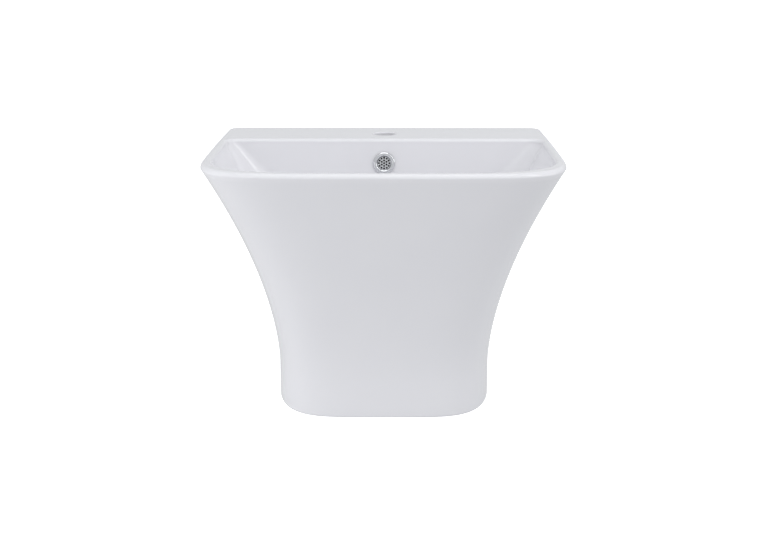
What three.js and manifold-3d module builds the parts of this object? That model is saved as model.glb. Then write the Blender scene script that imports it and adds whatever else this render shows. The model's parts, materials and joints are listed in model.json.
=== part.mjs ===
// Wall-hung washbasin with a one-piece half pedestal, its overflow, click waste and bottle trap.
// Millimetres. +Z is up and +X is to the right for a person facing the basin.
// The origin is on the wall, midway between the two fixing holes: the wall is the plane Y = 0,
// and the basin lies on the -Y side of it.

import * as THREE from 'three';
import { mergeVertices } from 'three/addons/utils/BufferGeometryUtils.js';
import Module from 'manifold-3d';

const wasm = await Module();
wasm.setup();

// ---------------------------------------------------------------- driving dimensions

const GAP = 0.3;                 // left between faces that rest on each other
const ROUND = 20;                // facets around a turned piece
const DEGREE = Math.PI / 180;

const RIM_Z = 120;               // top of the rim above the fixing holes
const BODY_HEIGHT = 388;         // rim to the foot's lower edge
const FLARE_HEIGHT = 333;        // the sides are upright below this depth
const FLARE_POWER = 1.62;
const TOP = { halfWidth: 255, reach: 430, corner: 140, px: 6, py: 3, taper: 3.5, backRadius: 13 };
const FOOT = { halfWidth: 161.5, reach: 300, corner: 145, px: 5, py: 2.3, taper: 0, backRadius: 6 };
const TAPER_SHARE = 0.6;         // share of the reach along which the sides draw in to the wall

const RIM_THICKNESS = 14;
const RIM_ROLL = 6.5;            // radius of each edge of the rim
const FOOT_EDGE = 4;             // bevel round the foot's lower edge
const WALL = 10.5;               // ceramic thickness of the shroud
const PANEL = 14;                // thickness of the panel against the wall
const PANEL_DEPTH = 175;         // the panel reaches this far below the rim
const LEDGE = 16;                // thickness of the tap ledge
const SHROUD_TOP = 95;           // depth where the hollow of the shroud starts
const POCKET_REACH = 135;        // the hollow behind the bowl reaches this far from the wall

const BOWL_BACK = 121;           // wall to the bowl's back edge
const BOWL_CORNER = { corner: 146, px: 4.6, py: 2.6 };    // rounder than the corners of the rim
const BOWL_LEAN = 31 * DEGREE;   // lean of the side and front walls of the bowl
const BOWL_BACK_LEAN = 11.5 * DEGREE;
const BOWL_FLOOR = 114;          // depth where the walls have turned into the floor
const BOWL_FILLET = 50;
const FLOOR_PITCH = 3 * DEGREE;
const BOWL_SHELL = 12;           // ceramic thickness of the bowl

const DRAIN_Y = -242;
const DRAIN_DEPTH = 119;         // depth of the floor at the drain
const SEAT_RADIUS = 36;          // recess that takes the waste's flange
const SEAT_Z = RIM_Z - DRAIN_DEPTH - 4;
const DRAIN_RADIUS = 23;
const BOSS_RADIUS = 40;
const BOSS_Z = -50;              // underside of the drain boss

const TAP_HOLE_Y = -66;
const TAP_HOLE_RADIUS = 17.5;
const FIXING_X = 140;
const FIXING_HOLE_RADIUS = 9;
const FIXING_BOLT_RADIUS = 5.5;

const OVERFLOW_DEPTH = 36.5;
const OVERFLOW_HOLE_RADIUS = 12.5;
const CHANNEL_HALF_WIDTH = 18;
const CHANNEL = { near: 10, far: 21, outside: 29 };   // offsets from the bowl's surface

const TAIL_RADIUS = 20.9;        // 1 1/4 inch waste thread
const TAIL_BORE = 18.5;
const TAIL_END = -88;
const PLUG_TRAVEL = 10;          // the plug is raised by this much at rest

const PIPE_RADIUS = 16;          // 32 mm trap pipe
const PIPE_BORE = 14.2;
const OUTLET_Z = -149;
const CUP_TOP = -174;
const CUP_BOTTOM = -245;
const DIP_END = -224;

// ---------------------------------------------------------------- materials

function finish(color, roughness, metalness = 0) {
  return new THREE.MeshStandardMaterial({ color, roughness, metalness });
}

const ceramic = finish(0xf2f3f5, 0.12);
const chrome = finish(0xd9dcdf, 0.08, 1);
const brass = finish(0xc9a35a, 0.3, 1);
const steel = finish(0xb8bcc0, 0.3, 1);
const rubber = finish(0x1c1c1e, 0.8);
const greyRubber = finish(0x5b5d60, 0.8);
const whitePlastic = finish(0xeeefee, 0.35);
const nylon = finish(0xd8d8d0, 0.5);

// ---------------------------------------------------------------- general helpers

function toSolid(geometry) {
  const plain = geometry.clone();
  plain.deleteAttribute('normal');
  plain.deleteAttribute('uv');
  const merged = mergeVertices(plain, 1e-4);
  return new wasm.Manifold(new wasm.Mesh({
    numProp: 3,
    vertProperties: new Float32Array(merged.attributes.position.array),
    triVerts: new Uint32Array(merged.index.array),
  }));
}

function toGeometry(solid) {
  const mesh = solid.getMesh();
  const geometry = new THREE.BufferGeometry();
  geometry.setAttribute('position', new THREE.BufferAttribute(new Float32Array(mesh.vertProperties), 3));
  geometry.setIndex(new THREE.BufferAttribute(new Uint32Array(mesh.triVerts), 1));
  geometry.computeVertexNormals();
  return geometry;
}

function cut(geometry, ...tools) {
  return toGeometry(tools.reduce((solid, tool) => solid.subtract(toSolid(tool)), toSolid(geometry)));
}

function join(geometry, ...others) {
  return toGeometry(others.reduce((solid, other) => solid.add(toSolid(other)), toSolid(geometry)));
}

// A turned piece about Z. The profile is a closed loop of [radius, z], or starts and ends on the axis.
function turned(profile, segments = ROUND) {
  const points = profile.map(([radius, z]) => new THREE.Vector2(radius, z));
  const onAxis = profile[0][0] === 0 && profile[profile.length - 1][0] === 0;
  if (!onAxis) {
    points.push(points[0].clone());
  }
  return new THREE.LatheGeometry(points, segments).rotateX(Math.PI / 2);
}

function ringProfile(inner, outer, low, high) {
  return [[inner, low], [outer, low], [outer, high], [inner, high]];
}

function rod(radius, low, high, segments = ROUND) {
  return turned([[0, low], [radius, low], [radius, high], [0, high]], segments);
}

function block(low, high) {
  const size = high.map((value, axis) => value - low[axis]);
  const middle = high.map((value, axis) => (value + low[axis]) / 2);
  return new THREE.BoxGeometry(...size).translate(...middle);
}

// A flat-sided nut with a plain bore.
function nut({ sides, acrossFlats, bore, low, high }) {
  const radius = acrossFlats / 2 / Math.cos(Math.PI / sides);
  return cut(rod(radius, low, high, sides), rod(bore, low - 1, high + 1));
}

// The outside of a nut with grip ribs, extruded along Z and still without its bore.
function ribbedGrip({ ribs, inner, outer, low, high }) {
  const outline = new THREE.Shape();
  for (let rib = 0; rib < ribs; rib += 1) {
    const share = 2 * Math.PI / ribs;
    [[0, inner], [0.5, inner], [0.6, outer], [0.9, outer]].forEach(([turn, radius]) => {
      const angle = (rib + turn) * share;
      const point = [radius * Math.cos(angle), radius * Math.sin(angle)];
      if (rib === 0 && turn === 0) {
        outline.moveTo(...point);
      } else {
        outline.lineTo(...point);
      }
    });
  }
  return new THREE.ExtrudeGeometry(outline, { depth: high - low, bevelEnabled: false }).translate(0, 0, low);
}

// ---------------------------------------------------------------- ceramic sections

const FRONT_STEPS = 20;
const SIDE_STEPS = 3;
const BACK_CORNER_STEPS = 3;
const BACK_STEPS = 2;

function mix(low, high, share) {
  return low + (high - low) * share;
}

// The outside of the body at a depth below the rim, as the numbers of its outline.
function bodySection(depth) {
  const height = FLARE_HEIGHT - Math.max(depth, RIM_ROLL);
  const rise = Math.max(0, height / (FLARE_HEIGHT - RIM_ROLL)) ** FLARE_POWER;
  return Object.fromEntries(Object.keys(TOP).map((key) => [key, mix(FOOT[key], TOP[key], rise)]));
}

// A closed outline seen from above: a superellipse front, straight sides that draw in towards
// the wall, and a straight back at `back` from the wall with rounded corners.
function outline(section, { inset = 0, back = 0, backRadius = section.backRadius } = {}) {
  const halfWidth = section.halfWidth - inset;
  const reach = section.reach - inset;
  const corner = section.corner - inset;
  const drawIn = (y) => {
    const share = Math.max(0, 1 + y / section.reach / TAPER_SHARE);
    return 1 - (section.taper / section.halfWidth) * share ** 2;
  };
  const half = [];
  for (let step = 0; step < FRONT_STEPS / 2; step += 1) {
    const angle = (step / (FRONT_STEPS / 2)) * Math.PI / 2;
    const x = halfWidth * Math.sin(angle) ** (2 / section.px);
    const y = -(reach - corner) - corner * Math.cos(angle) ** (2 / section.py);
    half.push([x, y]);
  }
  const sideStart = -(reach - corner);
  const sideEnd = -back - backRadius;
  for (let step = 0; step < SIDE_STEPS; step += 1) {
    half.push([halfWidth, mix(sideStart, sideEnd, step / SIDE_STEPS)]);
  }
  for (let step = 0; step <= BACK_CORNER_STEPS; step += 1) {
    const angle = (step / BACK_CORNER_STEPS) * Math.PI / 2;
    const x = halfWidth - backRadius * (1 - Math.cos(angle));
    half.push([x, sideEnd + backRadius * Math.sin(angle)]);
  }
  const drawn = half.map(([x, y]) => [x * drawIn(y), y]);
  const backEdge = drawn[drawn.length - 1];
  for (let step = 1; step < BACK_STEPS; step += 1) {
    drawn.push([mix(backEdge[0], 0, step / BACK_STEPS), backEdge[1]]);
  }
  drawn.push([0, backEdge[1]]);
  const mirrored = drawn.slice(1, -1).reverse().map(([x, y]) => [-x, y]);
  return [...drawn, ...mirrored];
}

// A solid through outlines stacked from the bottom up, each as { points, z }.
function loft(rings) {
  const count = rings[0].points.length;
  const positions = [];
  rings.forEach(({ points, z }) => points.forEach(([x, y]) => positions.push(x, y, z)));
  const faces = [];
  for (let ring = 0; ring < rings.length - 1; ring += 1) {
    for (let k = 0; k < count; k += 1) {
      const a = ring * count + k;
      const b = ring * count + (k + 1) % count;
      faces.push(a, b, b + count, a, b + count, a + count);
    }
  }
  [rings[0], rings[rings.length - 1]].forEach(({ points, z }, end) => {
    const middleY = points.reduce((sum, point) => sum + point[1], 0) / count;
    const middle = positions.length / 3;
    const start = end === 0 ? 0 : (rings.length - 1) * count;
    positions.push(0, middleY, z);
    for (let k = 0; k < count; k += 1) {
      const a = start + k;
      const b = start + (k + 1) % count;
      faces.push(middle, ...(end === 0 ? [b, a] : [a, b]));
    }
  });
  const geometry = new THREE.BufferGeometry();
  geometry.setAttribute('position', new THREE.BufferAttribute(new Float32Array(positions), 3));
  geometry.setIndex(faces);
  return geometry;
}

// ---------------------------------------------------------------- ceramic body

// Depths at which the flared outside is sectioned, from the upright foot to the rim.
function bodyDepths() {
  const depths = [];
  const steps = 8;
  for (let step = 0; step <= steps; step += 1) {
    depths.push(mix(FLARE_HEIGHT, RIM_ROLL, step / steps));
  }
  return depths;
}

function bodyOutside() {
  const foot = bodySection(BODY_HEIGHT);
  const rings = [
    { points: outline(foot, { inset: FOOT_EDGE }), z: RIM_Z - BODY_HEIGHT },
    { points: outline(foot), z: RIM_Z - BODY_HEIGHT + FOOT_EDGE },
  ];
  bodyDepths().forEach((depth) => {
    rings.push({ points: outline(bodySection(depth)), z: RIM_Z - depth });
  });
  [30, 60, 90].forEach((degrees) => {
    const angle = degrees * DEGREE;
    const inset = RIM_ROLL * (1 - Math.cos(angle));
    const depth = RIM_ROLL * (1 - Math.sin(angle));
    rings.push({ points: outline(bodySection(depth), { inset }), z: RIM_Z - depth });
  });
  return loft(rings);
}

// How far a bowl wall has come in from the opening at a depth: a leaning wall, then a fillet.
function wallInset(depth, lean) {
  const floorAngle = Math.PI / 2 - FLOOR_PITCH;
  const filletStart = BOWL_FLOOR - BOWL_FILLET * (Math.sin(floorAngle) - Math.sin(lean));
  if (depth <= filletStart) {
    return (depth - RIM_ROLL) * Math.tan(lean);
  }
  const turn = Math.asin(Math.sin(lean) + (depth - filletStart) / BOWL_FILLET);
  const straight = (filletStart - RIM_ROLL) * Math.tan(lean);
  return straight + BOWL_FILLET * (Math.cos(lean) - Math.cos(turn));
}

// The bowl's outline at a depth, grown outwards by `offset`.
function bowlOutline(depth, offset) {
  const top = { ...TOP, ...BOWL_CORNER };
  const inset = RIM_THICKNESS + wallInset(depth, BOWL_LEAN) - offset;
  const back = BOWL_BACK + wallInset(depth, BOWL_BACK_LEAN) - offset;
  const backRadius = Math.max(4, 17 + 0.47 * depth + offset / 2);
  top.corner += offset * 0.5;
  return outline(top, { inset, back, backRadius });
}

// The floor between the walls and the drain: the outline shrinks towards a circle at the drain.
function floorOutline(share, offset) {
  return bowlOutline(BOWL_FLOOR, offset).map(([x, y]) => {
    const distance = Math.hypot(x, y - DRAIN_Y);
    const scale = mix(distance, SEAT_RADIUS, share) / distance;
    return [x * scale, DRAIN_Y + (y - DRAIN_Y) * scale];
  });
}

// The space inside the bowl, grown by `offset`, from above the rim to the floor at the drain.
function bowlSpace(offset = 0) {
  const rings = [];
  const push = (points, depth) => {
    const grown = depth + offset * Math.min(1, Math.max(0, depth) / BOWL_FLOOR);
    rings.push({ points, z: RIM_Z - grown });
  };
  push(floorOutline(1, offset), DRAIN_DEPTH);
  push(floorOutline(0.55, offset), mix(BOWL_FLOOR, DRAIN_DEPTH, 0.55));
  [0, 0.06, 0.2, 0.4, 0.65].forEach((share) => {
    const depth = BOWL_FLOOR - share * BOWL_FILLET;
    push(bowlOutline(depth, offset), depth);
  });
  push(bowlOutline(50, offset), 50);
  push(bowlOutline(RIM_ROLL, offset), RIM_ROLL);
  [30, 60, 90].forEach((degrees) => {
    const spread = RIM_ROLL * (1 - Math.cos(degrees * DEGREE));
    push(bowlOutline(RIM_ROLL, offset + spread), RIM_ROLL * (1 - Math.sin(degrees * DEGREE)));
  });
  push(bowlOutline(RIM_ROLL, offset + RIM_ROLL), -2);
  return loft(rings);
}

// The space within the body's outside between two depths, `inset` from its sides and front and
// with its back at `back` from the wall.
function insideWalls(low, high, back, inset = WALL) {
  const rings = [];
  const steps = Math.ceil((low - high) / 45);
  for (let step = 0; step <= steps; step += 1) {
    const depth = mix(low, high, step / steps);
    const points = outline(bodySection(depth), { inset, back, backRadius: 8 });
    rings.push({ points, z: RIM_Z - depth });
  }
  return loft(rings);
}

// The overflow's place on the bowl's back wall, and the turn that lays Z along the wall's normal.
const overflow = {
  y: -BOWL_BACK - wallInset(OVERFLOW_DEPTH, BOWL_BACK_LEAN),
  z: RIM_Z - OVERFLOW_DEPTH,
  turn: Math.PI / 2 - BOWL_BACK_LEAN,
};

function atOverflow(geometry) {
  return geometry.rotateX(overflow.turn).translate(0, overflow.y, overflow.z);
}

function basinBody() {
  const outside = toSolid(bodyOutside());
  const behindBowl = toSolid(block([-300, DRAIN_Y, BOSS_Z + 4], [300, -PANEL, RIM_Z - LEDGE / 2]));
  const lowerHollow = toSolid(insideWalls(BODY_HEIGHT + 5, PANEL_DEPTH, -20));
  const upperHollow = toSolid(insideWalls(PANEL_DEPTH + 1, SHROUD_TOP, PANEL));
  const pocket = toSolid(insideWalls(SHROUD_TOP + 1, LEDGE, PANEL))
    .intersect(toSolid(block([-300, -POCKET_REACH, 0], [300, 0, RIM_Z])));
  const rib = toSolid(bowlSpace(CHANNEL.outside)).intersect(behindBowl)
    .intersect(toSolid(block([-CHANNEL_HALF_WIDTH - 8, -400, -200], [CHANNEL_HALF_WIDTH + 8, 0, RIM_Z])));
  const boss = toSolid(turned([
    [0, BOSS_Z], [BOSS_RADIUS, BOSS_Z], [BOSS_RADIUS + 8, SEAT_Z - 4], [0, SEAT_Z - 4],
  ]).translate(0, DRAIN_Y, 0));

  const channelBox = block(
    [-CHANNEL_HALF_WIDTH, DRAIN_Y, -200],
    [CHANNEL_HALF_WIDTH, -PANEL, overflow.z + OVERFLOW_HOLE_RADIUS],
  );
  const channel = toSolid(bowlSpace(CHANNEL.far)).subtract(toSolid(bowlSpace(CHANNEL.near)))
    .intersect(toSolid(channelBox));

  const holes = [
    rod(SEAT_RADIUS, SEAT_Z, RIM_Z - BOWL_FLOOR).translate(0, DRAIN_Y, 0),
    rod(DRAIN_RADIUS, BOSS_Z - 5, SEAT_Z + 1).translate(0, DRAIN_Y, 0),
    rod(TAP_HOLE_RADIUS, RIM_Z - LEDGE - 5, RIM_Z + 5).translate(0, TAP_HOLE_Y, 0),
    atOverflow(rod(OVERFLOW_HOLE_RADIUS, -16, 6)),
    ...[-FIXING_X, FIXING_X].map((x) => rod(FIXING_HOLE_RADIUS, -5, PANEL + 5)
      .rotateX(Math.PI / 2).translate(x, 0, 0)),
  ];
  const withinBody = toSolid(insideWalls(BODY_HEIGHT - 20, LEDGE / 2, PANEL / 2, WALL / 3));
  const bowlShell = toSolid(bowlSpace(BOWL_SHELL)).add(rib).add(boss).intersect(withinBody);
  const shell = outside.subtract(lowerHollow).subtract(upperHollow).subtract(pocket)
    .add(bowlShell)
    .subtract(channel)
    .subtract(toSolid(bowlSpace()));
  return toGeometry(holes.reduce((solid, hole) => solid.subtract(toSolid(hole)), shell));
}

// ---------------------------------------------------------------- overflow fitting

const STRAINER_RADIUS = 10.4;
const STRAINER_DEPTH = -3.2;     // its front face, behind the wall of the bowl

function overflowRing() {
  return atOverflow(turned([
    [10.8, -11], [12.1, -11], [12.1, 1.9], [16.6, 1.9], [16.6, 2.7], [15.2, 4], [12, 4.2], [10.8, 3],
  ]));
}

function overflowSeal() {
  return atOverflow(turned(ringProfile(12.8, 15.8, 0.3, 1.6)));
}

function overflowStrainer() {
  const disc = rod(STRAINER_RADIUS, STRAINER_DEPTH - 1.2, STRAINER_DEPTH);
  const holes = [];
  [[1, 0], [6, 4.2], [12, 8.3]].forEach(([count, radius]) => {
    for (let k = 0; k < count; k += 1) {
      const angle = (k / count) * 2 * Math.PI + Math.PI / 2;
      const hole = rod(1.15, STRAINER_DEPTH - 3, STRAINER_DEPTH + 1, 6);
      holes.push(hole.translate(radius * Math.cos(angle), radius * Math.sin(angle), 0));
    }
  });
  return atOverflow(cut(disc, ...holes));
}

// ---------------------------------------------------------------- click waste

const FLANGE_Z = SEAT_Z + 2 * GAP + 1.5;      // underside of the waste's flange
const BRIDGE = { low: -66, high: -60 };       // carries the click cartridge
const CARTRIDGE_TOP = -16;
const STEM_END = -34;                         // the spring holds the stem up from here
const SLOT = { halfWidth: 4.5, low: 19, high: 8 };    // overflow slots, below the flange's seat

function atDrain(geometry) {
  return geometry.translate(0, DRAIN_Y, 0);
}

function wasteBody() {
  const body = turned([
    [TAIL_BORE, TAIL_END], [TAIL_RADIUS, TAIL_END], [TAIL_RADIUS, FLANGE_Z], [33, FLANGE_Z],
    [33, FLANGE_Z + 1.4], [31, FLANGE_Z + 2.6], [28, FLANGE_Z + 2.4], [20, FLANGE_Z + 0.9],
    [TAIL_BORE, FLANGE_Z - 0.5],
  ]);
  const slotLow = [TAIL_BORE - 4, -SLOT.halfWidth, SEAT_Z - SLOT.low];
  const slotHigh = [TAIL_RADIUS + 2, SLOT.halfWidth, SEAT_Z - SLOT.high];
  const slots = [0, 1, 2, 3].map((quarter) => block(slotLow, slotHigh).rotateZ(quarter * Math.PI / 2));
  const spokes = [0, 1, 2].map((third) => block([3, -1.5, BRIDGE.low], [TAIL_BORE + 1, 1.5, BRIDGE.high])
    .rotateZ(third * 2 * Math.PI / 3));
  const hub = rod(5.5, BRIDGE.low, BRIDGE.high);
  const threadHole = rod(3.3, BRIDGE.low - 1, BRIDGE.high + 1);
  return atDrain(cut(join(cut(body, ...slots), hub, ...spokes), threadHole));
}

function clickCartridge() {
  return atDrain(turned([
    [0, BRIDGE.low - 4], [3, BRIDGE.low - 4], [3, BRIDGE.high + GAP], [7, BRIDGE.high + GAP],
    [7, CARTRIDGE_TOP], [3.2, CARTRIDGE_TOP], [3.2, CARTRIDGE_TOP - 1.5], [5.8, CARTRIDGE_TOP - 1.5],
    [5.8, BRIDGE.high + 2], [0, BRIDGE.high + 2],
  ], 16));
}

const PLUG_Z = FLANGE_Z + 2.6 + PLUG_TRAVEL + 1;     // underside of the plug's cap, raised

function plugCap() {
  return atDrain(turned([
    [0, PLUG_Z], [25, PLUG_Z], [31, PLUG_Z - 0.5], [31.5, PLUG_Z + 1], [29, PLUG_Z + 3.2],
    [20, PLUG_Z + 4.6], [0, PLUG_Z + 5.4],
  ]));
}

function plugSeal() {
  const top = PLUG_Z - GAP;
  return atDrain(turned([
    [12, top - 2.4], [17.5, top - 2.4], [24.5, top - 1.2], [24.5, top], [12, top],
  ]));
}

function plugStem() {
  const top = PLUG_Z - GAP;
  return atDrain(turned([
    [0, STEM_END], [5, STEM_END], [5, STEM_END + 2], [2.7, STEM_END + 2], [2.7, top - 6], [11, top - 4],
    [11, top], [0, top],
  ], 16));
}

function clickSpring() {
  const turns = 6;
  const low = BRIDGE.high + 3;
  const high = STEM_END - 0.8;
  const points = [];
  for (let step = 0; step <= turns * 10; step += 1) {
    const angle = (step / 10) * 2 * Math.PI;
    const z = mix(low, high, step / (turns * 10));
    points.push(new THREE.Vector3(4.2 * Math.cos(angle), 4.2 * Math.sin(angle), z));
  }
  const wire = new THREE.Shape();
  wire.absarc(0, 0, 0.5, 0, 2 * Math.PI);
  return atDrain(new THREE.ExtrudeGeometry(wire, {
    extrudePath: new THREE.CatmullRomCurve3(points), steps: turns * 10, curveSegments: 3,
  }));
}

function flangeGasket() {
  return atDrain(turned(ringProfile(TAIL_RADIUS + 0.4, 32, SEAT_Z + GAP, SEAT_Z + GAP + 1.5)));
}

const NUT_STACK = { gasket: 7, washer: 1.5, nut: 10 };
const WASHER_TOP = BOSS_Z - 2 * GAP - NUT_STACK.gasket;
const BACKNUT_TOP = WASHER_TOP - NUT_STACK.washer - GAP;

function lowerGasket() {
  const top = BOSS_Z - GAP;
  const low = top - NUT_STACK.gasket;
  return atDrain(turned([
    [TAIL_RADIUS + 0.4, low], [27, low], [31, top - 3], [31, top], [TAIL_RADIUS + 0.4, top],
  ]));
}

function slipWasher() {
  return atDrain(turned(ringProfile(TAIL_RADIUS + 0.4, 30, WASHER_TOP - NUT_STACK.washer, WASHER_TOP)));
}

function wasteBacknut() {
  return atDrain(nut({
    sides: 6, acrossFlats: 52, bore: TAIL_RADIUS + 0.4, low: BACKNUT_TOP - NUT_STACK.nut, high: BACKNUT_TOP,
  }));
}

// ---------------------------------------------------------------- bottle trap

const INLET_NUT = { low: -96, high: -73, shoulder: -93 };
const INLET_FLANGE_Z = INLET_NUT.shoulder + GAP;
const TOP_NUT = { low: -125, high: -107, shoulder: -110 };
const HEAD = { neckTop: -115, top: -128, low: -187, radius: 28, bore: 25 };
const COLLAR = { inner: 37, outer: 39.5, low: -190 };      // the cup's threaded ring, over the head
const NECK_RADIUS = 23.5;
const CUP_WALL = { inner: 32, outer: 35, top: -196.5 };     // a cone joins it to the collar
const OUTLET_NUT = { near: 44, far: 63, shoulder: 60 };   // distances from the trap's axis

function trapInletNut() {
  const grip = ribbedGrip({ ribs: 10, inner: 26, outer: 28, low: INLET_NUT.low, high: INLET_NUT.high });
  return atDrain(cut(
    grip,
    rod(TAIL_RADIUS + 0.4, INLET_NUT.shoulder, INLET_NUT.high + 1),
    rod(PIPE_RADIUS + 0.4, INLET_NUT.low - 1, INLET_NUT.shoulder + 1),
  ));
}

function trapInletWasher() {
  return atDrain(turned(ringProfile(PIPE_BORE + 1, TAIL_RADIUS - 0.3, INLET_FLANGE_Z + 1.6 + GAP, TAIL_END - GAP)));
}

function trapInletTube() {
  return atDrain(turned([
    [PIPE_BORE, DIP_END], [PIPE_RADIUS, DIP_END], [PIPE_RADIUS, INLET_FLANGE_Z], [20.4, INLET_FLANGE_Z],
    [20.4, INLET_FLANGE_Z + 1.6], [PIPE_BORE, INLET_FLANGE_Z + 1.6],
  ]));
}

function trapTopNut() {
  const grip = ribbedGrip({ ribs: 10, inner: 27, outer: 29, low: TOP_NUT.low, high: TOP_NUT.high });
  return atDrain(cut(
    grip,
    rod(NECK_RADIUS + 0.4, TOP_NUT.low - 1, TOP_NUT.shoulder),
    rod(PIPE_RADIUS + 0.4, TOP_NUT.shoulder - 1, TOP_NUT.high + 1),
  ));
}

function trapTopWasher() {
  return atDrain(turned([
    [PIPE_RADIUS + GAP, HEAD.neckTop + GAP], [22, HEAD.neckTop + GAP], [23, TOP_NUT.shoulder - GAP],
    [PIPE_RADIUS + GAP, TOP_NUT.shoulder - GAP],
  ]));
}

function towardsWall(geometry) {
  return geometry.rotateX(-Math.PI / 2).translate(0, 0, OUTLET_Z);
}

function trapHead() {
  const shell = turned([
    [HEAD.bore, HEAD.low], [HEAD.radius, HEAD.low], [HEAD.radius, HEAD.top - 4], [HEAD.radius - 4, HEAD.top],
    [NECK_RADIUS, HEAD.top], [NECK_RADIUS, HEAD.neckTop], [PIPE_RADIUS + 0.4, HEAD.neckTop],
    [PIPE_RADIUS + 0.4, HEAD.top - 3], [HEAD.bore, HEAD.top - 3],
  ]);
  const inside = rod(HEAD.bore, HEAD.low - 1, HEAD.top - 3);
  const outlet = cut(towardsWall(rod(20, HEAD.bore - 6, OUTLET_NUT.shoulder - 5)), inside);
  const bore = towardsWall(rod(PIPE_RADIUS + 0.4, 18, OUTLET_NUT.far));
  return atDrain(cut(join(shell, outlet), bore));
}

function cupSeal() {
  const cone = (COLLAR.low - CUP_WALL.top) / (COLLAR.inner - CUP_WALL.inner);
  const rest = (radius) => COLLAR.low - (COLLAR.inner - radius) * cone + 1.1;
  return atDrain(turned([
    [HEAD.bore, HEAD.low - GAP - 3], [33, rest(33)], [36, rest(36)],
    [36, HEAD.low - GAP], [HEAD.bore, HEAD.low - GAP],
  ]));
}

function trapCup() {
  const { inner, outer, top } = CUP_WALL;
  return atDrain(turned([
    [0, CUP_BOTTOM], [20, CUP_BOTTOM], [outer - 4, CUP_BOTTOM + 5], [outer, CUP_BOTTOM + 14], [outer, top - 1],
    [COLLAR.outer, COLLAR.low - 1], [COLLAR.outer, CUP_TOP], [COLLAR.inner, CUP_TOP], [COLLAR.inner, COLLAR.low],
    [inner, top], [inner, CUP_BOTTOM + 15], [inner - 4, CUP_BOTTOM + 8], [19, CUP_BOTTOM + 3],
    [0, CUP_BOTTOM + 3],
  ]));
}

function outletNut() {
  const { near, far, shoulder } = OUTLET_NUT;
  const grip = ribbedGrip({ ribs: 10, inner: 23.5, outer: 25.5, low: near, high: far });
  return atDrain(towardsWall(cut(
    grip,
    rod(20.4, near - 1, shoulder),
    rod(PIPE_RADIUS + 0.4, shoulder - 1, far + 1),
  )));
}

function outletWasher() {
  const near = OUTLET_NUT.shoulder - 5 + GAP;
  return atDrain(towardsWall(turned(ringProfile(PIPE_RADIUS + GAP, 19.8, near, OUTLET_NUT.shoulder - GAP))));
}

function outletPipe() {
  return atDrain(towardsWall(turned(ringProfile(PIPE_BORE, PIPE_RADIUS, HEAD.radius + 2, -DRAIN_Y))));
}

function wallRosette() {
  return atDrain(towardsWall(turned([
    [PIPE_RADIUS + GAP, -DRAIN_Y - 12], [20, -DRAIN_Y - 12], [34, -DRAIN_Y - 4], [34, -DRAIN_Y - GAP],
    [31, -DRAIN_Y - GAP], [31, -DRAIN_Y - 3], [19, -DRAIN_Y - 9], [PIPE_RADIUS + GAP, -DRAIN_Y - 9],
  ])));
}

// ---------------------------------------------------------------- wall fixings

function fixingBush(x) {
  return turned([
    [FIXING_BOLT_RADIUS, 1], [FIXING_HOLE_RADIUS - GAP, 1], [FIXING_HOLE_RADIUS - GAP, PANEL + GAP],
    [15, PANEL + GAP], [15, PANEL + 2.8], [FIXING_BOLT_RADIUS, PANEL + 2.8],
  ]).rotateX(Math.PI / 2).translate(x, 0, 0);
}

// ---------------------------------------------------------------- the assembly

const basin = new THREE.Group();

function add(name, geometry, material) {
  const mesh = new THREE.Mesh(geometry, material);
  mesh.name = name;
  basin.add(mesh);
}

add('basin_body', basinBody(), ceramic);
add('fixing_bush_left', fixingBush(-FIXING_X), nylon);
add('fixing_bush_right', fixingBush(FIXING_X), nylon);

add('overflow_ring', overflowRing(), chrome);
add('overflow_seal', overflowSeal(), greyRubber);
add('overflow_strainer', overflowStrainer(), chrome);

add('waste_body', wasteBody(), chrome);
add('flange_gasket', flangeGasket(), rubber);
add('lower_gasket', lowerGasket(), rubber);
add('slip_washer', slipWasher(), nylon);
add('waste_backnut', wasteBacknut(), brass);
add('click_cartridge', clickCartridge(), brass);
add('click_spring', clickSpring(), steel);
add('plug_stem', plugStem(), brass);
add('plug_seal', plugSeal(), rubber);
add('plug_cap', plugCap(), chrome);

add('trap_inlet_nut', trapInletNut(), whitePlastic);
add('trap_inlet_washer', trapInletWasher(), greyRubber);
add('trap_inlet_tube', trapInletTube(), whitePlastic);
add('trap_top_nut', trapTopNut(), whitePlastic);
add('trap_top_washer', trapTopWasher(), greyRubber);
add('trap_head', trapHead(), whitePlastic);
add('cup_seal', cupSeal(), greyRubber);
add('trap_cup', trapCup(), whitePlastic);
add('outlet_nut', outletNut(), whitePlastic);
add('outlet_washer', outletWasher(), greyRubber);
add('outlet_pipe', outletPipe(), whitePlastic);
add('wall_rosette', wallRosette(), whitePlastic);

export default basin;
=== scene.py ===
"""Looks for the wall-hung washbasin with half pedestal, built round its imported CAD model.

Lengths are in millimetres until a mesh is made, and +Z is up. The wall is the plane Y = 0, with the basin on
its -Y side, and the origin lies midway between the two wall-fixing holes.
"""

import json
import math

import bmesh
import bpy
import numpy as np
from mathutils import Matrix, Vector
from mathutils.bvhtree import BVHTree
from mathutils.interpolate import poly_3d_calc


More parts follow.
